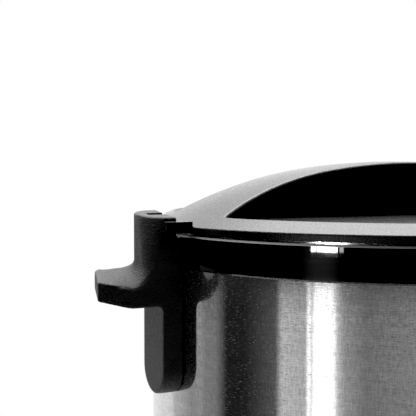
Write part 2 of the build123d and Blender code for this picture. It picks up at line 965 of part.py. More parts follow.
def draw_recess(grow):
    """The front finger recess: along the arch, out along its flares, round the lip of the lid."""
    lip = lip_radius + grow
    flare = bar_flare + grow
    centre = (bar_straight, -bar_half - bar_flare)
    apart = hypot(*centre)
    along = (lip**2 - flare**2 + apart**2) / (2 * apart)
    across = sqrt(lip**2 - along**2)
    tip_x = (along * centre[0] - across * centre[1]) / apart
    tip_y = (along * centre[1] + across * centre[0]) / apart
    flare_end = degrees(atan2(tip_y - centre[1], tip_x - centre[0]))
    lip_start = degrees(atan2(tip_y, tip_x))
    with BuildSketch(Plane.XY.offset(recess_z - grow)) as outline:
        with BuildLine():
            right = CenterArc(centre, flare, 90, flare_end - 90)
            left = CenterArc((-centre[0], centre[1]), flare, 90, 90 - flare_end)
            Line(left @ 0, right @ 0)
            CenterArc((0, 0), lip, lip_start, -180 - 2 * lip_start)
        make_face()
        fillet(outline.vertices().filter_by(lambda v: abs(v.X) > bar_straight + recess_tip), recess_tip)
        mirror(about=Plane.XZ)
    return outline.sketch


with BuildPart() as lid_hollow:
    with BuildSketch(Plane.XZ):
        with BuildLine():
            under = CenterArc((0, dome_centre), dome_radius - lid_wall, 90, -degrees(dome_turn))
            under_lip = (brow_r + (lip_radius - brow_r) * under_share, brow_z + (lip_z - brow_z) * under_share)
            under_brow = TangentArc(under @ 1, under_lip, tangent=under % 1)
            Polyline(
                under_brow @ 1,
                (side_radius - lid_wall, lid_line + lid_side),
                (lid_radius - lid_wall, lid_line),
                (0, lid_line),
                under @ 0,
            )
        make_face()
    revolve(axis=Axis.Z)
    extrude(draw_recess(lid_wall), amount=lid_rise, mode=Mode.SUBTRACT)

with BuildPart() as lid_cover:
    with BuildSketch(Plane.XZ) as lid_profile:
        with BuildLine():
            dome = CenterArc((0, dome_centre), dome_radius, 90, -degrees(dome_turn))
            brow = TangentArc(dome @ 1, (lip_radius, lip_z), tangent=dome % 1)
            Polyline(
                brow @ 1,
                (side_radius, lid_line + lid_side),
                (lid_radius, lid_line),
                (0, lid_line),
                dome @ 0,
            )
        make_face()
        fillet(lid_profile.vertices().sort_by(Axis.X)[-1], shoulder_edge)
    revolve(axis=Axis.Z)
    extrude(draw_recess(0), amount=lid_rise, mode=Mode.SUBTRACT)
    cut_edges = lid_cover.edges(Select.LAST)
    fillet(cut_edges.filter_by(lambda e: e.bounding_box().min.Z > recess_z + recess_edge), recess_edge)
    add(lid_hollow.part, mode=Mode.SUBTRACT)
    with BuildSketch(Plane.XY.offset(inner_lid_top)):
        with GridLocations(2 * boss_x, 2 * boss_y, 2, 2):
            Circle(boss_radius)
    extrude(amount=boss_top - inner_lid_top)
    with BuildSketch(Plane.XY.offset(inner_lid_top)):
        with GridLocations(2 * boss_x, 2 * boss_y, 2, 2):
            Circle(screw_radius + pin_gap)
    extrude(amount=screw_length, mode=Mode.SUBTRACT)
    with BuildSketch(Plane.XY.offset(lid_line + fin_bottom)):
        with Locations((fin_middle, fin_offset), (-fin_middle, -fin_offset)):
            Rectangle(fin_end - fin_start, fin_thick)
    extrude(amount=fin_height)
    with BuildSketch(Plane.XY.offset(lid_line)):
        with Locations(vent_place):
            Circle(stem_radius + stem_bore)
        with Locations(float_place):
            Circle(float_head + slip_gap)
    extrude(amount=lid_rise, mode=Mode.SUBTRACT)
save(lid_cover, "lid_cover")

with BuildPart() as lid_screws:
    for x in (-boss_x, boss_x):
        for y in (-boss_y, boss_y):
            turned(upright(x, y), screw_points(inner_lid_bottom))
save(lid_screws, "lid_screws")

# Inner lid: a pressed plate with a skirt whose lugs turn under those of the pot housing
with BuildPart() as inner_lid:
    turned(
        upright(0, 0),
        [
            (0, inner_lid_bottom),
            (skirt_inner, inner_lid_bottom),
            (skirt_inner, skirt_bottom),
            (skirt_outer, skirt_bottom),
            (skirt_outer, inner_lid_top),
            (0, inner_lid_top),
        ],
    )
    with BuildSketch(Plane.XY.offset(skirt_bottom)):
        for n in range(lug_count):
            draw_sector(lid_lug_radius, skirt_outer, 360 / lug_count * (n + 1 / 2), lug_span)
    extrude(amount=lug_thick)
    with BuildSketch(Plane.XY.offset(inner_lid_bottom)):
        with GridLocations(2 * boss_x, 2 * boss_y, 2, 2):
            Circle(screw_radius + pin_gap)
        with Locations(vent_place):
            Circle(stem_radius + pin_gap)
        with Locations(float_place):
            Circle(float_radius + pin_gap)
    extrude(amount=inner_lid_thick, mode=Mode.SUBTRACT)
save(inner_lid, "inner_lid")

# Sealing ring on the pot's rim, and the rack inside it
seal_inner = pot_radius - seal_inset
seal_outer = pot_rim_radius - seal_edge
seal_bottom = rim_top + soft_gap
seal_top = inner_lid_bottom - soft_gap
with BuildPart() as sealing_ring:
    turned(
        upright(0, 0),
        [
            (seal_inner, seal_bottom),
            (seal_outer, seal_bottom),
            (seal_outer, seal_top),
            (seal_inner, seal_top),
            (seal_inner, seal_top - seal_lip),
            (seal_outer - seal_web, seal_top - seal_lip),
            (seal_outer - seal_web, seal_bottom + seal_lip),
            (seal_inner, seal_bottom + seal_lip),
        ],
    )
save(sealing_ring, "sealing_ring")

rack_outer = seal_inner - soft_gap
with BuildPart() as ring_rack:
    turned(
        upright(0, 0),
        [
            (rack_outer - rack_thick, inner_lid_bottom - rack_drop),
            (rack_outer, inner_lid_bottom - rack_drop),
            (rack_outer, inner_lid_bottom),
            (rack_outer - rack_thick, inner_lid_bottom),
        ],
    )
save(ring_rack, "ring_rack")

# Steam valve: stem through the inner lid, nut and shield below, turning knob above
valve = upright(*vent_place)
with BuildPart() as vent_stem:
    turned(
        valve,
        [
            (stem_bore, inner_lid_bottom - stem_drop),
            (stem_radius, inner_lid_bottom - stem_drop),
            (stem_radius, inner_lid_top),
            (stem_flange, inner_lid_top),
            (stem_flange, inner_lid_top + stem_flange_thick),
            (stem_radius, inner_lid_top + stem_flange_thick),
            (stem_radius, lid_line + stem_top),
            (stem_bore, lid_line + stem_top),
        ],
    )
save(vent_stem, "vent_stem")

with BuildPart() as vent_nut:
    with BuildSketch(Plane.XY.offset(inner_lid_bottom - nut_height)):
        with Locations(vent_place):
            RegularPolygon(nut_radius, 6)
            Circle(stem_radius + pin_gap, mode=Mode.SUBTRACT)
    extrude(amount=nut_height)
save(vent_nut, "vent_nut")

with BuildPart() as block_shield:
    turned(
        valve,
        [
            (0, inner_lid_bottom - shield_drop),
            (shield_radius, inner_lid_bottom - shield_drop),
            (shield_radius, inner_lid_bottom),
            (shield_radius - shield_wall, inner_lid_bottom),
            (shield_radius - shield_wall, inner_lid_bottom - shield_drop + shield_wall),
            (0, inner_lid_bottom - shield_drop + shield_wall),
        ],
    )
    with BuildSketch(Plane.XY.offset(inner_lid_bottom - shield_drop + shield_wall)):
        with Locations(vent_place):
            with PolarLocations(shield_radius - shield_wall / 2, shield_slots):
                Rectangle(3 * shield_wall, shield_slot_width)
    extrude(amount=shield_slot_height, mode=Mode.SUBTRACT)
save(block_shield, "block_shield")

knob_bottom = recess_z + soft_gap
knob_top = knob_bottom + knob_height
knob_waist = knob_bottom + knob_skirt_height
knob_lever_bottom = knob_top - knob_lever_height
with BuildPart() as steam_knob:
    turned(
        valve,
        [
            (0, knob_bottom),
            (knob_skirt, knob_bottom),
            (knob_skirt, knob_waist - knob_lever_edge),
            (knob_skirt - knob_lever_edge, knob_waist),
            (knob_neck, knob_waist),
            (knob_neck, knob_lever_bottom),
            (0, knob_lever_bottom),
        ],
    )
    with BuildSketch(Plane.XY.offset(knob_lever_bottom)):
        with Locations(vent_place):
            SlotOverall(knob_lever_length, knob_lever_width)
    extrude(amount=knob_lever_height)
    fillet(steam_knob.faces().sort_by(Axis.Z)[-1].edges(), knob_lever_edge)
    with BuildSketch(Plane.XY.offset(knob_bottom)):
        with Locations(vent_place):
            Circle(stem_radius + soft_gap)
    extrude(amount=lid_line + stem_top - knob_bottom + seat_gap, mode=Mode.SUBTRACT)
save(steam_knob, "steam_knob")

# Float valve: a pin that rises through the inner lid, with a soft cap below
cap_top = inner_lid_bottom - float_travel - soft_gap
float_line = upright(*float_place)
with BuildPart() as float_pin:
    turned(
        float_line,
        [
            (0, cap_top - float_cap_height),
            (float_radius, cap_top - float_cap_height),
            (float_radius, inner_lid_top + seat_gap),
            (float_head, inner_lid_top + seat_gap),
            (float_head, recess_z),
            (0, recess_z),
        ],
    )
save(float_pin, "float_pin")

with BuildPart() as float_seal:
    turned(
        float_line,
        [
            (float_radius, cap_top - float_cap_height),
            (float_cap, cap_top - float_cap_height),
            (float_cap, cap_top),
            (float_radius, cap_top),
        ],
    )
save(float_seal, "float_seal")

# Control panel: a curved housing on the shell, with its window, buttons and board
with BuildPart() as panel_housing:
    with BuildSketch(Plane.XY.offset(panel_bottom)):
        Circle(panel_face)
        Circle(body_face, mode=Mode.SUBTRACT)
    extrude(amount=panel_height)
    with BuildSketch(outward(0, 0, panel_middle)):
        RectangleRounded(panel_width, panel_height, panel_corner)
    extrude(amount=2 * panel_face, mode=Mode.INTERSECT)
    outer_face = panel_housing.faces().sort_by(Axis.Y)[0]
    fillet(outer_face.edges(), panel_edge)
    with BuildSketch(Plane.XY.offset(panel_bottom + panel_rim)):
        pocket_span = 2 * degrees(asin((panel_width / 2 - panel_rim) / panel_face))
        draw_sector(shell_inner, panel_inner, -90, pocket_span)
    extrude(amount=panel_height - 2 * panel_rim, mode=Mode.SUBTRACT)
    with BuildSketch(outward(0, board_front, panel_middle)):
        with GridLocations(2 * board_post_x, 2 * board_post_z, 2, 2):
            Circle(board_post)
    extrude(amount=post_face - board_front)
    with BuildSketch(outward(0, board_front, panel_middle)):
        with GridLocations(2 * board_post_x, 2 * board_post_z, 2, 2):
            Circle(screw_radius + pin_gap)
    extrude(amount=screw_length, mode=Mode.SUBTRACT)
    with BuildSketch(outward(0, board_front, window_z)):
        Rectangle(window_width + 2 * slip_gap, window_height + 2 * slip_gap)
    extrude(amount=panel_face, mode=Mode.SUBTRACT)
    for angle, z in button_places:
        with BuildSketch(outward(angle, board_front, z)):
            RectangleRounded(button_width + 2 * slip_gap, button_height + 2 * slip_gap, button_corner)
        extrude(amount=panel_face, mode=Mode.SUBTRACT)
save(panel_housing, "panel_housing")

with BuildPart() as display_window:
    with BuildSketch(Plane.XY.offset(window_z - window_height / 2)):
        Circle(panel_face)
        Circle(panel_face - window_thick, mode=Mode.SUBTRACT)
    extrude(amount=window_height)
    with BuildSketch(outward(0, 0, window_z)):
        Rectangle(window_width, window_height)
    extrude(amount=2 * panel_face, mode=Mode.INTERSECT)
save(display_window, "display_window")

with BuildPart() as display_module:
    with BuildSketch(outward(0, board_front, window_z)):
        Rectangle(display_width, display_height)
    extrude(amount=display_front - board_front)
save(display_module, "display_module")

for number, (angle, z) in enumerate(button_places, start=1):
    with BuildPart() as button:
        with BuildSketch(outward(angle, button_back, z)):
            RectangleRounded(button_width, button_height, button_corner)
        extrude(amount=button_face - button_back)
        fillet(button.edges().filter_by(lambda e: on_face(e, angle, button_face)), button_proud / 2)
        with BuildSketch(outward(angle, button_back, z)):
            RectangleRounded(flange_width, flange_height, button_corner)
        extrude(amount=button_flange_thick)
        with BuildSketch(outward(angle, button_stem_end, z)):
            Circle(button_stem)
        extrude(amount=button_back - button_stem_end)
    save(button, f"button_{number}")

with BuildPart() as control_board:
    with BuildSketch(outward(0, board_front - board_thick, panel_middle)):
        Rectangle(board_width, board_height)
        with GridLocations(2 * board_post_x, 2 * board_post_z, 2, 2):
            Circle(screw_radius + pin_gap, mode=Mode.SUBTRACT)
    extrude(amount=board_thick)
save(control_board, "control_board")

with BuildPart() as tact_switches:
    for angle, z in button_places:
        with BuildSketch(outward(0, board_front, z)):
            with Locations((tact_radius * sin(radians(angle)), 0)):
                Rectangle(tact_size, tact_size)
        extrude(amount=tact_height)
save(tact_switches, "tact_switches")

with BuildPart() as panel_screws:
    for x in (-board_post_x, board_post_x):
        for z in (panel_middle - board_post_z, panel_middle + board_post_z):
            towards_front = Plane(origin=(x, 0, z), x_dir=(1, 0, 0), z_dir=(0, 0, -1))
            turned(towards_front, screw_points(board_front - board_thick))
save(panel_screws, "panel_screws")

# Condensate cup and the bracket whose rails it slides on
cup_inner_y = body_radius + bracket_thick + 2 * soft_gap
cup_outer_y = cup_inner_y + cup_depth
cup_middle_y = (cup_inner_y + cup_outer_y) / 2
lip_top = cup_top - cup_lip_drop
lip_half = cup_width / 2 + cup_lip
with BuildPart() as condensate_cup:
    with BuildSketch(Plane.XY.offset(cup_top - cup_height)):
        with Locations((0, cup_middle_y)):
            RectangleRounded(cup_width, cup_depth, cup_corner)
    extrude(amount=cup_height)
    with BuildSketch(Plane.XY.offset(lip_top - cup_lip_thick)):
        with Locations((0, cup_middle_y)):
            Rectangle(2 * lip_half, cup_depth - 2 * cup_corner)
    extrude(amount=cup_lip_thick)
    with BuildSketch(Plane.XY.offset(cup_top - cup_height + cup_wall)):
        with Locations((0, cup_middle_y)):
            RectangleRounded(cup_width - 2 * cup_wall, cup_depth - 2 * cup_wall, cup_corner - cup_wall)
    extrude(amount=cup_height, mode=Mode.SUBTRACT)
save(condensate_cup, "condensate_cup")

rail_middle = cup_width / 2 + soft_gap + cup_lip / 2
with BuildPart() as cup_bracket:
    with BuildSketch(outward(180, body_radius - bracket_thick, bracket_z)):
        Rectangle(2 * lip_half, bracket_height)
    extrude(amount=2 * bracket_thick)
    with BuildSketch(Plane.XY.offset(rail_top - bracket_rail)):
        with Locations((0, cup_middle_y - bracket_thick)):
            with GridLocations(2 * rail_middle, 0, 2, 1):
                Rectangle(cup_lip, cup_depth + 2 * bracket_thick)
    extrude(amount=bracket_rail)
    with BuildSketch(Plane.XY.offset(bracket_z - bracket_height)):
        Circle(body_face)
    extrude(amount=2 * bracket_height, mode=Mode.SUBTRACT)
    with BuildSketch(outward(180, shell_inner, bracket_screw_z)):
        Circle(screw_radius + pin_gap)
    extrude(amount=screw_length, mode=Mode.SUBTRACT)
save(cup_bracket, "cup_bracket")

bracket_screw_length = body_radius + bracket_thick - shell_inner - seat_gap
with BuildPart() as bracket_screw:
    backward = Plane(origin=(0, 0, bracket_screw_z), x_dir=(1, 0, 0), z_dir=(0, 0, 1))
    turned(backward, screw_points(shell_inner - seat_gap, bracket_screw_length))
save(bracket_screw, "bracket_screw")
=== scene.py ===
"""Looks of an electric pressure cooker: satin lid, polished rim, brushed shell, textured handles.

Metres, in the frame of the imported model: Z is up, the control panel faces -Y and the handles lie along X.
"""
import json
from math import cos, pi, radians, sin

import bmesh
import bpy
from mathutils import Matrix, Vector


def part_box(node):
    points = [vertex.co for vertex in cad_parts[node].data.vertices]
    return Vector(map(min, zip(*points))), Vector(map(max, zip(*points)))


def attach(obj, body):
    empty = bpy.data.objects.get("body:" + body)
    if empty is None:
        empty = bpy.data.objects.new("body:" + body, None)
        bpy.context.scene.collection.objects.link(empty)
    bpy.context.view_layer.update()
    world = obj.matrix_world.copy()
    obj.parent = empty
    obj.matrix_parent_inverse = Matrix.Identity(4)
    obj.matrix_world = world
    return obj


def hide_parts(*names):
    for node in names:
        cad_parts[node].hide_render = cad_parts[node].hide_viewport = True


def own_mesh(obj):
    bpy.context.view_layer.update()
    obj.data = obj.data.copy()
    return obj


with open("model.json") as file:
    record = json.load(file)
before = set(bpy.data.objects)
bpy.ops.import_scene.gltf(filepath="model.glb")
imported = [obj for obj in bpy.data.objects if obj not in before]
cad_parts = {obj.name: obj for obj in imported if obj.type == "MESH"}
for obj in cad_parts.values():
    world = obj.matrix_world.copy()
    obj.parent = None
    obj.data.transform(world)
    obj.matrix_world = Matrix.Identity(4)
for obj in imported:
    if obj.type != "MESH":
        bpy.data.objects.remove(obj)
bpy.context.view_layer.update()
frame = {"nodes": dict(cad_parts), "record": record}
nodes = frame["nodes"]

MM = 0.001

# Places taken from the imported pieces
lid_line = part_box("lid_cover")[0].z
body_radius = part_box("outer_shell")[1].y


class Wire:
    """A shader socket that takes part in Python sums: each operator adds a Math node."""

    def __init__(self, shading, socket):
        self.shading = shading
        self.socket = socket

    def math(self, operation, *others):
        sockets = dict(enumerate((self,) + others))
        return self.shading.node("ShaderNodeMath", {"operation": operation}, sockets)

    def also(self, output):
        """Another output of the node that this socket belongs to."""
        return Wire(self.shading, self.socket.node.outputs[output])

    def __add__(self, other):
        return self.math("ADD", other)

    __radd__ = __add__

    def __mul__(self, other):
        return self.math("MULTIPLY", other)

    __rmul__ = __mul__

    def __sub__(self, other):
        return self.math("SUBTRACT", other)

    def __rsub__(self, other):
        return (self * -1) + other

    def __truediv__(self, other):
        return self.math("DIVIDE", other)

    def __pow__(self, other):
        return self.math("POWER", other)

    def __neg__(self):
        return self * -1


class Shading:
    """A node tree whose nodes are made by one method and handed out as wires."""

    def __init__(self, tree):
        self.tree = tree

    def node(self, kind, settings=None, sockets=None, output=0):
        made = self.tree.nodes.new(kind)
        for name, value in (settings or {}).items():
            if name == "stops":
                fill_ramp(made.color_ramp, value)
            else:
                setattr(made, name, value)
        for name, value in (sockets or {}).items():
            if isinstance(value, Wire):
                self.tree.links.new(value.socket, made.inputs[name])
            else:
                made.inputs[name].default_value = value
        return Wire(self, made.outputs[output])

    def split(self, vector):
        x = self.node("ShaderNodeSeparateXYZ", sockets={"Vector": vector}, output="X")
        return x, x.also("Y"), x.also("Z")

    def join(self, x, y, z):
        return self.node("ShaderNodeCombineXYZ", sockets={"X": x, "Y": y, "Z": z})

    def ramp(self, amount, stops):
        """Greys along an amount from 0 to 1."""
        return self.node("ShaderNodeValToRGB", {"stops": stops}, {"Fac": amount}, output="Color")

    def span(self, amount, low, high, start=0.0, end=1.0):
        """An amount carried from one span of numbers to another, held at the ends."""
        sockets = {"Value": amount, "From Min": low, "From Max": high, "To Min": start, "To Max": end}
        return self.node("ShaderNodeMapRange", {"interpolation_type": "SMOOTHSTEP"}, sockets)

    def blend(self, amount, first, second):
        """A colour between two colours; a Mix node keeps its colour sockets at these places."""
        sockets = {0: amount, 6: first, 7: second}
        return self.node("ShaderNodeMix", {"data_type": "RGBA"}, sockets, output=2)


def grey(value):
    return (value, value, value, 1.0)


def fill_ramp(ramp, stops):
    """Sets a colour ramp's stops from (place, grey) pairs."""
    while len(ramp.elements) < len(stops):
        ramp.elements.new(1.0)
    for element, (place, value) in zip(ramp.elements, stops):
        element.position = place
        element.color = grey(value)


class Finish(Shading):
    """A material on one principled shader, with what is the same all over set on its sockets."""

    def __init__(self, name, **constants):
        self.material = bpy.data.materials.new(name)
        self.material.use_nodes = True
        super().__init__(self.material.node_tree)
        self.shader = self.tree.nodes["Principled BSDF"]
        for socket, value in constants.items():
            self.shader.inputs[socket.replace("_", " ")].default_value = value

    def feed(self, socket, wire):
        self.tree.links.new(wire.socket, self.shader.inputs[socket])

    def place(self):
        return self.node("ShaderNodeTexCoord", output="Object")

    def noise(self, vector, scale, detail=2.0, rough=0.5):
        sockets = {"Vector": vector, "Scale": scale, "Detail": detail, "Roughness": rough}
        return self.node("ShaderNodeTexNoise", sockets=sockets)

    def spread(self, noise, start=0.0, end=1.0):
        """Noise carried to a span of its own; most of it lies between 0.3 and 0.7."""
        return self.span(noise, 0.3, 0.7, start, end)

    def mottle(self, amount, colour, dark, light, tint=(1.0, 1.0, 1.0)):
        """A base colour that wanders between a darker and a lighter share of one shade."""
        low, high = (tuple(colour * share * c for c in tint) + (1.0,) for share in (dark, light))
        self.feed("Base Color", self.blend(amount, low, high))

    def bump(self, height, depth):
        sockets = {"Height": height, "Distance": depth, "Strength": 1.0}
        self.feed("Normal", self.node("ShaderNodeBump", sockets=sockets, output="Normal"))


# Finishes: sizes of what shows in a skin
cloud_size = 40 * MM
wipe_size = 18 * MM
ripple_size = 6 * MM
ripple_depth = 0.0008 * MM
matt_fade = 0.3 * MM
never_matt = 1000 * MM
brush_depth = 0.006 * MM
stain_size = 25 * MM
ring_depth = 0.01 * MM
bloom_size = 9 * MM
rubber_grain = 0.5 * MM
rubber_depth = 0.015 * MM
track_size = 60 * MM
track_depth = 0.02 * MM
lacquer_size = 4 * MM
haze_size = 14 * MM
ink_grain = 0.7 * MM


def textured_plastic(name, colour, roughness, grain, depth, gloss=0.5):
    """Moulded black plastic with the fine pitted skin of a spark-eroded mould."""
    finish = Finish(name, Specular_IOR_Level=gloss)
    place = finish.place()
    pits = finish.noise(place, 1 / grain, 3.0, 0.6)
    shade = finish.spread(finish.noise(place, 1 / cloud_size))
    finish.mottle(shade, colour, 0.85, 1.2)
    pitted = finish.spread(pits, roughness - 0.06, roughness + 0.06)
    finish.feed("Roughness", pitted + (shade - 0.5) * 0.03)
    finish.bump(pits, depth)
    return finish.material


def polished_plastic(name, colour, roughness, matt_above=never_matt):
    """Glossy black moulding with faint wiping marks, left matt above a height."""
    finish = Finish(name)
    place = finish.place()
    x, y, z = finish.split(place)
    wiped = finish.noise(finish.join(x, y, z * 12), 1 / wipe_size, 4.0, 0.6)
    finish.mottle(wiped, colour, 0.8, 1.25)
    polish = finish.span(wiped, 0.4, 0.75, roughness, roughness + 0.015)
    finish.feed("Roughness", polish + finish.span(z, matt_above, matt_above + matt_fade) * 0.5)
    finish.bump(finish.noise(place, 1 / ripple_size, 1.0), ripple_depth)
    return finish.material


def brushed_round(name, colour, roughness, stroke, pitch):
    """Steel brushed round the upright axis: fine strokes along the turn, crossed by short upright dashes."""
    finish = Finish(name, Metallic=1.0, Anisotropic=0.85, Anisotropic_Rotation=0.25)
    x, y, z = finish.split(finish.place())
    turn = x.math("ARCTAN2", -y) * body_radius
    strokes = finish.noise(finish.join(turn / stroke, z / pitch, 0.0), 1.0, 3.0, 0.65)
    sweeps = finish.noise(finish.join(turn / (stroke * 8), z / (pitch * 6), 3.0), 1.0, 2.0)
    flecks = finish.noise(finish.join(turn / (stroke * 0.4), z / pitch, 7.0), 1.0, 3.0, 0.7)
    fleck = finish.span(flecks, 0.46, 0.8)
    dashes = finish.noise(finish.join(turn / (stroke * 0.14), z / (pitch * 10), 11.0), 1.0, 3.0, 0.7)
    grain = strokes * 0.7 + sweeps * 0.3
    finish.mottle(finish.spread(grain) * 0.5 + finish.spread(dashes) * 0.5, colour, 0.64, 1.26)
    finish.feed("Roughness", fleck * 0.4 + finish.spread(grain, roughness + 0.02, roughness - 0.02))
    finish.bump(grain + fleck * 0.5, brush_depth)
    return finish.material


def turned_metal(name, colour, roughness, pitch):
    """Metal turned on a lathe: fine rings about the upright axis."""
    finish = Finish(name, Metallic=1.0)
    place = finish.place()
    x, y, z = finish.split(place)
    across = (x**2 + y**2) ** 0.5
    rings = finish.noise(finish.join(across / pitch, z / pitch, 0.0), 1.0, 2.0, 0.6)
    finish.mottle(finish.noise(place, 1 / stain_size, 3.0), colour, 0.82, 1.1)
    finish.feed("Roughness", finish.spread(rings, roughness - 0.06, roughness + 0.08))
    finish.bump(rings, ring_depth)
    return finish.material


def soft_rubber(name, colour, roughness, tint=(1.0, 1.0, 1.0), **constants):
    """Rubber or silicone with a dull bloom on its skin."""
    finish = Finish(name, **constants)
    place = finish.place()
    bloom = finish.noise(place, 1 / bloom_size, 4.0, 0.6)
    finish.mottle(bloom, colour, 0.85, 1.12, tint)
    finish.feed("Roughness", finish.spread(bloom, roughness - 0.06, roughness + 0.08))
    finish.bump(finish.noise(place, 1 / rubber_grain), rubber_depth)
    return finish.material


def board_lacquer(name):
    """Green circuit board with tracks under the lacquer."""
    finish = Finish(name, Coat_Weight=0.3, Coat_Roughness=0.2)
    place = finish.place()
    tracks = finish.node(
        "ShaderNodeTexBrick",
        {"offset": 0.5, "squash": 1.0},
        {"Vector": place, "Scale": 1 / track_size, "Mortar Size": 0.02},
        output="Fac",
    )
    finish.feed("Base Color", finish.blend(tracks, (0.012, 0.10, 0.035, 1.0), (0.05, 0.22, 0.07, 1.0)))
    finish.feed("Roughness", finish.spread(finish.noise(place, 1 / lacquer_size), 0.3, 0.45))
    finish.bump(tracks, track_depth)
    return finish.material


def clear_plastic(name, colour, alpha, roughness):
    """Clear or smoked moulding, faintly clouded."""
    finish = Finish(name, IOR=1.49)
    haze = finish.noise(finish.place(), 1 / haze_size, 3.0)
    finish.mottle(haze, colour, 0.9, 1.1)
    finish.feed("Roughness", finish.spread(haze, roughness, roughness + 0.06))
    finish.feed("Alpha", finish.span(haze, 0.2, 0.8, alpha - 0.03, alpha + 0.03))
    return finish.material


rim_matt = 1.9 * MM
finishes = {
    "shell_steel": brushed_round("shell_steel_look", 0.62, 0.055, 6 * MM, 0.5 * MM),
    "rim_gloss": polished_plastic("rim_gloss_look", 0.002, 0.02, matt_above=lid_line - rim_matt),
    "base_plastic": textured_plastic("base_plastic_look", 0.008, 0.5, 0.8 * MM, 0.05 * MM, 0.3),
    "handle_plastic": textured_plastic("handle_plastic_look", 0.004, 0.44, 1.0 * MM, 0.9 * MM, 0.4),
    "lid_plastic": textured_plastic("lid_plastic_look", 0.005, 0.28, 0.8 * MM, 0.12 * MM, 0.4),
    "pot_steel": brushed_round("pot_steel_look", 0.66, 0.18, 9 * MM, 0.4 * MM),
    "housing_steel": turned_metal("housing_steel_look", 0.5, 0.4, 0.7 * MM),
    "plate_alloy": turned_metal("plate_alloy_look", 0.62, 0.38, 0.5 * MM),
    "silicone": soft_rubber("silicone_look", 0.78, 0.42, (1.0, 1.0, 0.97), Subsurface_Weight=0.2),
    "screw_steel": turned_metal("screw_steel_look", 0.6, 0.3, 0.3 * MM),
    "panel_plastic": textured_plastic("panel_plastic_look", 0.01, 0.34, 0.6 * MM, 0.015 * MM),
    "window_clear": clear_plastic("window_clear_look", 0.02, 0.45, 0.04),
    "display_dark": polished_plastic("display_dark_look", 0.012, 0.12),
    "button_plastic": textured_plastic("button_plastic_look", 0.06, 0.42, 0.6 * MM, 0.02 * MM),
    "board_green": board_lacquer("board_green_look"),
    "parts_plastic": textured_plastic("parts_plastic_look", 0.03, 0.45, 0.5 * MM, 0.02 * MM),
    "blade_brass": turned_metal("blade_brass_look", 0.6, 0.28, 0.4 * MM),
    "lead_rubber": soft_rubber("lead_rubber_look", 0.45, 0.5, (1.0, 0.16, 0.1)),
    "foot_rubber": soft_rubber("foot_rubber_look", 0.02, 0.7),
    "cup_clear": clear_plastic("cup_clear_look", 0.75, 0.42, 0.12),
}

for part in frame["record"]["subparts"]:
    node = nodes[part["node"]]
    node.data.materials.clear()
    node.data.materials.append(finishes[part["material_slot"]])


# Handles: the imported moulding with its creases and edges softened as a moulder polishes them
soft_voxel = 0.6 * MM
soft_passes = 6
flare_passes = 40
flare_inner, flare_outer = body_radius + 9 * MM, body_radius + 34 * MM
flare_low, flare_high = lid_line - 33.6 * MM, lid_line - 6.6 * MM
flare_tilt = 0.05


def soften(form, points, passes):
    """Moves points towards the middle of their neighbours, over and over."""
    axes = {f"use_axis_{axis}": True for axis in "xyz"}
    for _ in range(passes):
        bmesh.ops.smooth_vert(form, verts=points, factor=0.5, **axes)


def in_flare(point):
    """Whether a point lies on the hollow where the post runs out into the wing."""
    across, up = abs(point.co.x), point.co.z
    return flare_inner < across < flare_outer and flare_low < up < flare_high and point.normal.z > flare_tilt


def shade_smooth(mesh):
    for face in mesh.polygons:
        face.use_smooth = True


for side in ("left", "right"):
    handle = bpy.data.objects.new(f"soft_handle_{side}", nodes[f"handle_{side}"].data.copy())
    bpy.context.scene.collection.objects.link(handle)
    handle.data.remesh_voxel_size = soft_voxel
    with bpy.context.temp_override(object=handle, active_object=handle, selected_objects=[handle]):
        bpy.ops.object.voxel_remesh()
    form = bmesh.new()
    form.from_mesh(handle.data)
    soften(form, form.verts[:], soft_passes)
    soften(form, [point for point in form.verts if in_flare(point)], flare_passes)
    form.to_mesh(handle.data)
    form.free()
    handle.data.materials.clear()
    handle.data.materials.append(finishes["handle_plastic"])
    shade_smooth(handle.data)
    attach(handle, "body")
    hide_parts(f"handle_{side}")


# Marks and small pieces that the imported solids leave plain
def printed_ink(name, colour, glow=0.0):
    """Screen-printed ink, a little uneven; the lit digits use it with a glow."""
    finish = Finish(name, Emission_Strength=glow)
    cover = finish.span(finish.noise(finish.place(), 1 / ink_grain, 3.0), 0.25, 0.6)
    finish.mottle(cover, colour, 0.8, 1.0)
    finish.feed("Emission Color", finish.blend(cover, grey(0.75), grey(0.95)))
    finish.feed("Roughness", finish.span(cover, 0.0, 1.0, 0.6, 0.45))
    return finish.material


key_ink = printed_ink("key_ink", 0.62)
lit_segment = printed_ink("lit_segment", 0.7, 1.2)
etched_line = turned_metal("etched_line", 0.16, 0.6, 0.6 * MM)
ink_lift = 0.05 * MM
ink_sunk = 0.15 * MM


def add_piece(name, form, finish, body):
    """Turns a finished form into a piece that rides on a body."""
    bmesh.ops.recalc_face_normals(form, faces=form.faces)
    mesh = bpy.data.meshes.new(name)
    form.to_mesh(mesh)
    form.free()
    piece = bpy.data.objects.new(name, mesh)
    bpy.context.scene.collection.objects.link(piece)
    mesh.materials.append(finish)
    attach(piece, body)
    return piece


def step_between(first, second):
    """The direction from one (across, up) point to the next."""
    return (Vector(second) - Vector(first)).normalized()


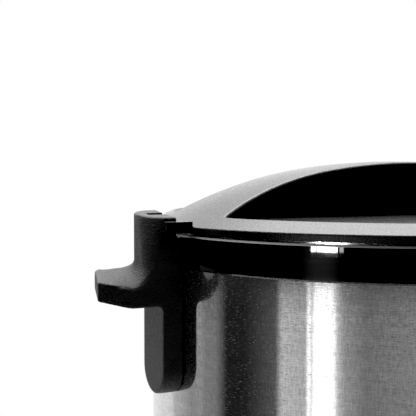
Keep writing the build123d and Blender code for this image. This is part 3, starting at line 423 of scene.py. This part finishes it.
def add_stroke(form, path, width, on_face, closed=False):
    """A flat stroke along a path of (across, up) points, laid on a face by on_face(across, up, lift)."""
    count = len(path)
    rows = []
    for i, (across, up) in enumerate(path):
        coming = step_between(path[i - 1], path[i]) if i or closed else step_between(path[0], path[1])
        going = step_between(path[i], path[(i + 1) % count]) if i + 1 < count or closed else coming
        along = (coming + going).normalized()
        side = Vector((-along.y, along.x)) * width / 2 / along.dot(going)
        corners = ((side, -ink_sunk), (side, ink_lift), (-side, ink_lift), (-side, -ink_sunk))
        rows.append([form.verts.new(on_face(across + s.x, up + s.y, lift)) for s, lift in corners])
    runs = zip(rows, rows[1:] + rows[:1]) if closed else zip(rows, rows[1:])
    for first, second in runs:
        for k in range(4):
            form.faces.new((first[k], first[k - 1], second[k - 1], second[k]))
    if not closed:
        form.faces.new(rows[0])
        form.faces.new(rows[-1])


def ring_path(radius, start=0, end=360, steps=24, middle=(0.0, 0.0)):
    """Points round a circle or an arc of it, in degrees; a full ring doesn't repeat its first point."""
    last = steps if end - start < 360 else steps - 1
    angles = [radians(start + (end - start) * i / steps) for i in range(last + 1)]
    return [(middle[0] + radius * cos(a), middle[1] + radius * sin(a)) for a in angles]


# Keys: a plain mark on each
key_bearing = 14.5
key_face = 155.4 * MM
mark_reach = 3.2 * MM
mark_stroke = 0.7 * MM
cast_from = 0.3


def key_marks(reach):
    """Strokes of the eight marks, each as (path, closed)."""
    half = reach * 0.8
    plus = [([(-reach, 0), (reach, 0)], False), ([(0, -reach), (0, reach)], False)]
    minus = [([(-reach, 0), (reach, 0)], False)]
    start = [([(-reach * 0.6, -reach), (reach, 0), (-reach * 0.6, reach)], True)]
    stop = [([(-half, -half), (half, -half), (half, half), (-half, half)], True)]
    clock = [(ring_path(reach), True), ([(0, reach * 0.6), (0, 0), (reach * 0.45, -reach * 0.25)], False)]
    bars = ((-half, reach * 0.1), (0, reach * 0.5), (half, reach * 0.9))
    levels = [([(across, -reach), (across, top)], False) for across, top in bars]
    wave = [(reach * 0.25 * sin(i * pi / 6), reach * (i / 6 - 1)) for i in range(13)]
    waves = [([(across + reach * k, up) for across, up in wave], False) for k in (-0.75, 0, 0.75)]
    power = [(ring_path(reach, 120, 420), False), ([(0, reach * 0.1), (0, reach * 1.2)], False)]
    return [plus, minus, start, stop, clock, levels, waves, power]


for number, strokes in enumerate(key_marks(mark_reach), 1):
    key = nodes[f"button_{number}"]
    key_low, key_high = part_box(f"button_{number}")
    key_middle = (key_low.z + key_high.z) / 2
    key_side = 1 if key_high.x > 0 else -1

    def on_key(across, up, lift):
        turn = radians(key_side * key_bearing) + across / key_face
        out = Vector((sin(turn), -cos(turn), 0))
        spot = key.ray_cast(out * cast_from + Vector((0, 0, key_middle + up)), -out)[1]
        return spot + out * lift

    form = bmesh.new()
    for path, closed in strokes:
        add_stroke(form, path, mark_stroke, on_key, closed)
    add_piece(f"key_mark_{number}", form, key_ink, f"button_{number}")

# Display: four digits of seven segments behind the smoked window
module_low, module_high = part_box("display_module")
digit_width = 6.4 * MM
digit_height = 12 * MM
digit_pitch = 10.5 * MM
segment_width = 1.2 * MM
segment_gap = 0.9 * MM
colon_reach = 2.4 * MM
digit_places = (-1.6, -0.6, 0.6, 1.6)
segments_of = {"0": "abcdef", "3": "abcdg"}
w, h, g = digit_width / 2, digit_height / 2, segment_gap
segment_ends = {
    "a": ((-w + g, h), (w - g, h)), "b": ((w, h - g), (w, g)), "c": ((w, -g), (w, -h + g)),
    "d": ((-w + g, -h), (w - g, -h)), "e": ((-w, -g), (-w, -h + g)), "f": ((-w, h - g), (-w, g)),
    "g": ((-w + g, 0), (w - g, 0)),
}
module_middle = (module_low.z + module_high.z) / 2


def on_module(across, up, lift):
    return Vector((across, module_low.y - lift, module_middle + up))


form = bmesh.new()
for place, digit in zip(digit_places, "0030"):
    for segment in segments_of[digit]:
        path = [(across + place * digit_pitch, up) for across, up in segment_ends[segment]]
        add_stroke(form, path, segment_width, on_module)
for up in (-colon_reach, colon_reach):
    add_stroke(form, [(-segment_width / 2, up), (segment_width / 2, up)], segment_width, on_module)
add_piece("display_digits", form, lit_segment, "body")

# Pot: level lines etched on the back of the wall, long and short by turns
pot_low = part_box("inner_pot")[0]
pot = nodes["inner_pot"]
pot_turn = 110 * MM
level_count = 9
level_first = 40 * MM
level_pitch = 10 * MM
level_width = 0.6 * MM
level_reaches = (14 * MM, 8 * MM)
level_steps = 12


def on_pot(across, up, lift):
    turn = across / pot_turn
    out = Vector((sin(turn), cos(turn), 0))
    spot = pot.ray_cast(Vector((0, 0, up)), out)[1]
    return spot - out * lift


form = bmesh.new()
for level in range(level_count):
    up = pot_low.z + level_first + level_pitch * level
    reach = level_reaches[level % 2]
    path = [(reach * (2 * i / level_steps - 1), up) for i in range(level_steps + 1)]
    add_stroke(form, path, level_width, on_pot)
add_piece("pot_levels", form, etched_line, "pot")

# Steam knob: a pointer on its lever, and a dot and a ring on the lid where it points
lid = nodes["lid_cover"]
knob = nodes["steam_knob"]
knob_low, knob_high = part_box("steam_knob")
knob_x, knob_y = (knob_low.x + knob_high.x) / 2, (knob_low.y + knob_high.y) / 2
pointer_start, pointer_end = 18 * MM, 9 * MM
pointer_width = 1.2 * MM
mark_ring = 29 * MM
dot_radius = 0.8 * MM
vent_ring = 1.8 * MM
venting_turn = radians(60)
drop_from = 0.6


def on_top_of(node):
    """Lays a mark on whatever face of a piece is uppermost at a place in plan."""
    def place(across, up, lift):
        spot = node.ray_cast(Vector((across, up, drop_from)), Vector((0, 0, -1)))[1]
        return spot + Vector((0, 0, lift))

    return place


form = bmesh.new()
pointer = [(knob_x - pointer_start, knob_y), (knob_x - pointer_end, knob_y)]
add_stroke(form, pointer, pointer_width, on_top_of(knob))
add_piece("knob_pointer", form, key_ink, "steam_valve")
form = bmesh.new()
seal_mark = (knob_x - mark_ring, knob_y)
add_stroke(form, ring_path(dot_radius, middle=seal_mark), pointer_width, on_top_of(lid), True)
vent_mark = (knob_x - mark_ring * cos(venting_turn), knob_y - mark_ring * sin(venting_turn))
add_stroke(form, ring_path(vent_ring, middle=vent_mark), mark_stroke, on_top_of(lid), True)
add_piece("valve_marks", form, key_ink, "lid")

# Sensor spring: round wire with its end turns closed
spring_low, spring_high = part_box("sensor_spring")
wire = 0.75 * MM
coil_radius = spring_high.x - wire
coil_turns = 7
coil_steps = 36
wire_sides = 10
spring_span = spring_high.z - spring_low.z
around = [2 * pi * k / wire_sides for k in range(wire_sides)]
form = bmesh.new()
rings = []
for i in range(coil_turns * coil_steps + 1):
    turns = i / coil_steps
    first_turn = min(turns, 1.0)
    last_turn = max(0.0, turns - coil_turns + 1)
    open_turns = min(1.0, max(0.0, (turns - 1) / (coil_turns - 2)))
    lift = spring_low.z + wire * (1 + first_turn + last_turn) + (spring_span - 4 * wire) * open_turns
    out = Vector((cos(2 * pi * turns), sin(2 * pi * turns), 0))
    middle = out * coil_radius + Vector((0, 0, lift))
    skin = [middle + out * wire * cos(a) + Vector((0, 0, wire * sin(a))) for a in around]
    rings.append([form.verts.new(point) for point in skin])
for first, second in zip(rings, rings[1:]):
    for k in range(wire_sides):
        form.faces.new((first[k], first[k - 1], second[k - 1], second[k]))
form.faces.new(rings[0])
form.faces.new(rings[-1])
spring = add_piece("spring_coil", form, finishes["housing_steel"], "body")
shade_smooth(spring.data)
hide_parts("sensor_spring")
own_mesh(spring)

# Floor: a pale round sheet that fades out before the backdrop
floor_reach = 0.42
floor_solid = 0.2
floor_dark, floor_light = grey(0.42), grey(0.45)
floor_clouds = 6.0
floor_mesh = bpy.data.meshes.new("floor")
floor_form = bmesh.new()
bmesh.ops.create_circle(floor_form, cap_ends=True, radius=floor_reach, segments=96)
floor_form.to_mesh(floor_mesh)
floor_form.free()
floor = bpy.data.objects.new("floor", floor_mesh)
bpy.context.scene.collection.objects.link(floor)
floor_finish = Finish("floor_look", Roughness=0.6)
floor_place = floor_finish.place()
floor_x, floor_y, _ = floor_finish.split(floor_place)
distance = (floor_x**2 + floor_y**2) ** 0.5
clouds = floor_finish.noise(floor_place, floor_clouds)
floor_finish.feed("Base Color", floor_finish.blend(clouds, floor_dark, floor_light))
floor_finish.feed("Alpha", floor_finish.span(distance, floor_solid, floor_reach, 1.0, 0.0))
floor_mesh.materials.append(floor_finish.material)

# Studio: what the polished and brushed faces mirror, in layers of height, each by compass bearing
studio = bpy.data.worlds.new("studio")
studio.use_nodes = True
bpy.context.scene.world = studio
studio_shading = Shading(studio.node_tree)
background = studio.node_tree.nodes["Background"]

# Each layer's brightness as (bearing in degrees from the panel, brightness)
table_glow = [
    (-180, 1.0), (-158, 0.95), (-149, 0.6), (-138, 0.38), (-131, 0.44), (-128, 0.32), (-121, 0.3),
    (-114, 0.03), (-103, 0.035), (-96, 0.08), (-87, 0.15), (-84.4, 0.8), (-76, 0.7), (-72.4, 0.6),
    (-71.6, 2.6), (-70.9, 2.6), (-70.5, 1.0), (-70.1, 1.0), (-69.7, 2.7), (-60.8, 2.7), (-60.1, 0.7),
    (-58.6, 0.95), (-57.2, 0.5), (-47, 0.27), (-27, 0.36), (30, 0.2), (40, 0.5), (75, 0.5), (85, 0.1),
    (112, 0.12), (132, 0.9), (180, 1.0),
]
foot_glow = [(-180, 0.04), (-76, 0.04), (-69, 0.3), (-64, 0.3), (-57, 0.05), (180, 0.04)]
wall_glow = [
    (-180, 1.8), (-150, 1.8), (-128, 0.5), (-110, 0.04), (100, 0.04), (130, 1.0), (150, 1.8), (180, 1.8),
]
top_glow = [(-180, 9.0), (-135, 9.0), (-110, 5.0), (-90, 1.0), (90, 1.0), (110, 5.0), (130, 9.0), (180, 9.0)]
crown_glow = 3.0
backdrop = 1.0

# Heights over which each layer takes over from the one below, as the upward share of a direction
foot_rise, wall_rise, top_rise, crown_rise = (-0.15, -0.12), (-0.03, 0.06), (0.58, 0.78), (0.96, 1.0)

east, north, height = studio_shading.split(studio_shading.node("ShaderNodeTexCoord", output="Generated"))
bearing = east.math("ARCTAN2", -north) / (2 * pi) + 0.5


def round_about(stops):
    """Brightness by compass bearing, from (degrees, brightness) pairs."""
    return studio_shading.ramp(bearing, [((angle + 180) / 360, glow) for angle, glow in stops])


room = round_about(table_glow)
for rise, glow in ((foot_rise, foot_glow), (wall_rise, wall_glow), (top_rise, top_glow)):
    room = studio_shading.blend(studio_shading.span(height, *rise), room, round_about(glow))
room = studio_shading.blend(studio_shading.span(height, *crown_rise), room, grey(crown_glow))
seen = studio_shading.node("ShaderNodeLightPath", output="Is Camera Ray")
sky = studio_shading.blend(seen, room, grey(backdrop))
studio.node_tree.links.new(sky.socket, background.inputs["Color"])
background.inputs["Strength"].default_value = 1.0


# Softboxes: kept off the handles, the lid and the steel, which mirror the glow of the room alone
softbox_away = 1.25
softbox_low, softbox_high = 0.176, 0.95
softbox_reach = bpy.data.collections.new("softbox_reach")
for name in ("soft_handle_left", "soft_handle_right", "lid_cover", "outer_shell"):
    softbox_reach.objects.link(bpy.data.objects[name])
for link in softbox_reach.collection_objects:
    link.light_linking.link_state = "EXCLUDE"


def softbox(name, bearing, width, power):
    """An upright area light at a compass bearing, facing the body's axis."""
    lamp = bpy.data.lights.new(name, "AREA")
    lamp.shape = "RECTANGLE"
    lamp.size = width
    lamp.size_y = softbox_high - softbox_low
    lamp.energy = power
    light = bpy.data.objects.new(name, lamp)
    out = Vector((sin(radians(bearing)), -cos(radians(bearing)), 0))
    light.location = out * softbox_away + Vector((0, 0, (softbox_low + softbox_high) / 2))
    light.rotation_euler = (-out).to_track_quat("-Z", "Y").to_euler()
    light.visible_camera = False
    light.light_linking.receiver_collection = softbox_reach
    bpy.context.scene.collection.objects.link(light)


softbox("key_softbox", -61.9, 0.184, 28)
softbox("strip_softbox", -67.5, 0.042, 6.4)
softbox("edge_softbox", -56.1, 0.035, 0.8)

# Camera
camera_data = bpy.data.cameras.new("camera")
camera_data.sensor_width = 36
camera_data.lens = 75.7
camera_data.clip_start = 0.01
camera = bpy.data.objects.new("camera", camera_data)
camera_bearing = radians(-37)
camera_away = 0.5175
camera_x, camera_y = camera_away * sin(camera_bearing), -camera_away * cos(camera_bearing)
camera_over_lid = 0.0311
camera.location = (camera_x, camera_y, lid_line + camera_over_lid)
looking = Vector((0.4247, 0.9043, -0.0424))
camera.rotation_euler = looking.to_track_quat("-Z", "Y").to_euler()
bpy.context.scene.collection.objects.link(camera)
bpy.context.scene.camera = camera
black_point = 0.01
view = bpy.context.scene.view_settings
view.view_transform = "Standard"
view.use_curve_mapping = True
view.curve_mapping.black_level = (black_point, black_point, black_point)
view.curve_mapping.update()
